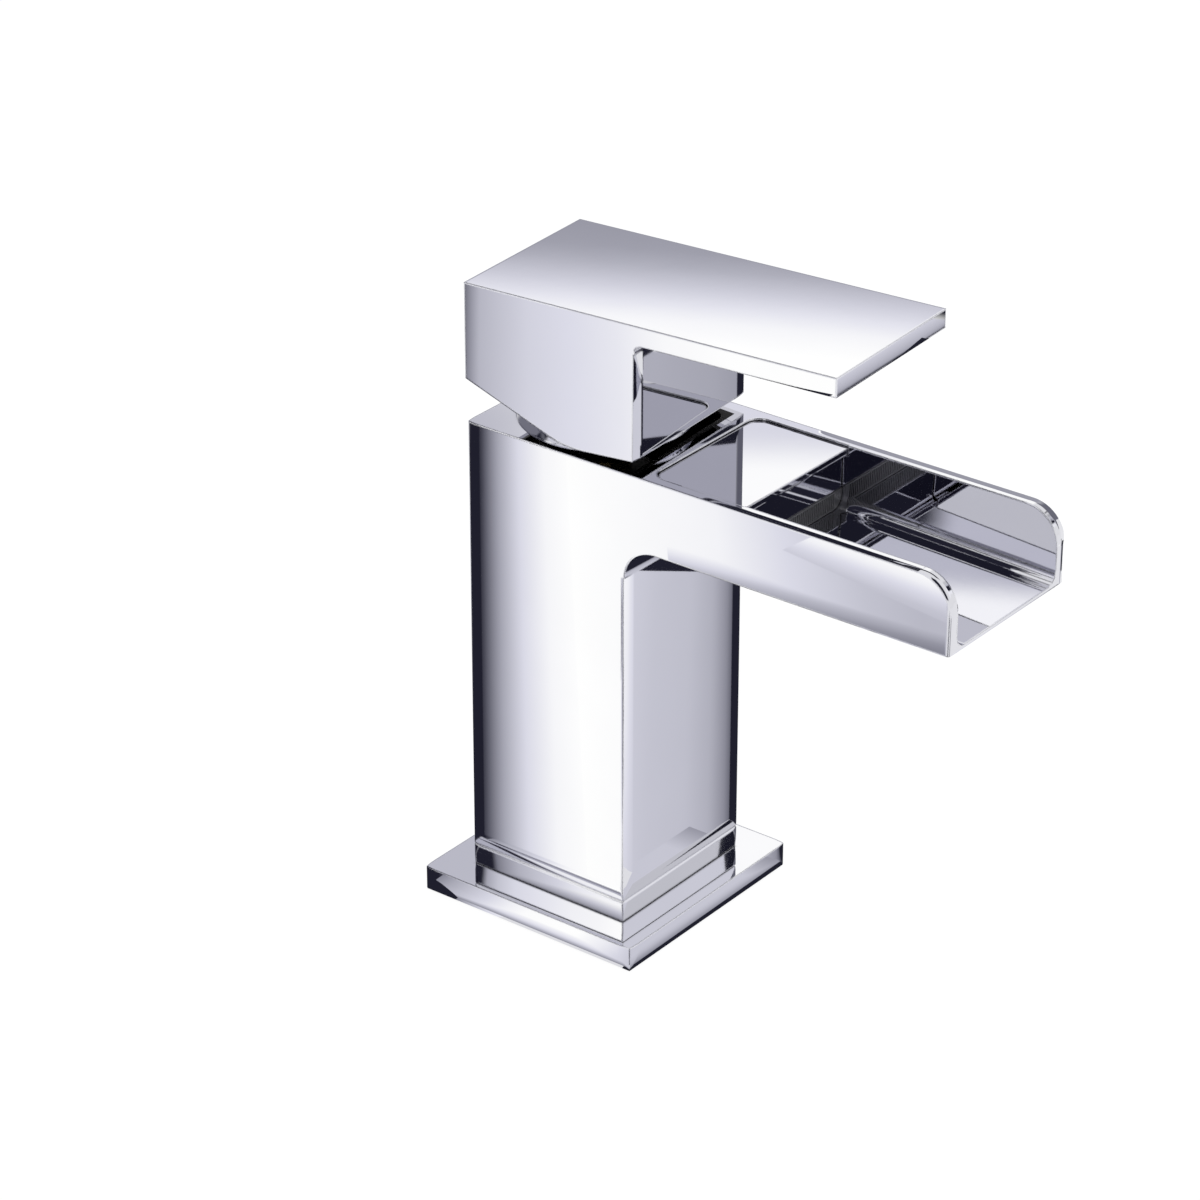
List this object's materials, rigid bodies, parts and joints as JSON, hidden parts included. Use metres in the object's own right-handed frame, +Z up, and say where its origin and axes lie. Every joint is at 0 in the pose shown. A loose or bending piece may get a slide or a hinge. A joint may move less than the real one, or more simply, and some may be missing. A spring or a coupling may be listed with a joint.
{
  "type": "waterfall basin faucet",
  "caption": "Single-lever basin mixer with a square column, an open trough spout and a flat lever; the lever lifts for flow and turns for temperature.",
  "frame": {"origin": "where the column's axis meets the deck, on the underside of the base plate", "axes": "+Z up; the spout and the lever point to -Y; X runs across the spout, cold inlet at +X"},
  "size_m": [0.06, 0.1364, 0.1549],
  "materials": {
    "chrome": "polished",
    "raw_brass": "machined",
    "rubber": "matt",
    "ceramic": "lapped ceramic",
    "white_plastic": "moulded",
    "red_plastic": "moulded",
    "steel": "turned",
    "comb_plastic": "moulded",
    "black_steel": "blackened"
  },
  "bodies": {
    "fixed": {"faucet_body": "chrome", "base_plate": "chrome", "base_gasket": "rubber", "body_o_ring": "rubber", "cover_plate": "chrome", "cover_gasket": "rubber", "flow_straightener": "comb_plastic", "dome_cover": "chrome", "retaining_nut": "raw_brass", "cartridge_housing": "white_plastic", "cartridge_base": "white_plastic", "port_seals": "rubber", "disc_seals": "rubber", "lower_disc": "ceramic", "limit_ring": "red_plastic"},
    "carrier": {"stem_carrier": "white_plastic", "pivot_pin": "steel", "carrier_o_ring": "rubber"},
    "lever": {"handle": "chrome", "stem": "raw_brass", "set_screw": "black_steel", "index_plug": "chrome"},
    "disc": {"upper_disc": "ceramic", "disc_coupler": "white_plastic"}
  },
  "joints": [
    {"name": "temperature_turn", "type": "hinge", "parent": "fixed", "child": "carrier", "pos_m": [0, 0, 0.11], "axis": [0, 0, 1], "range_deg": [-48, 42]},
    {"name": "flow_lift", "type": "hinge", "parent": "carrier", "child": "lever", "pos_m": [0, 0, 0.11], "axis": [-0.9986, -0.0523, 0], "range_deg": [0, 22]},
    {"name": "disc_slide", "type": "slide", "parent": "carrier", "child": "disc", "axis": [0.0523, -0.9986, 0], "range_m": [0, 0.00385]}
  ],
  "couplings": [
    {"joint": "disc_slide", "follows": "flow_lift", "m_per_rad": 0.01}
  ]
}
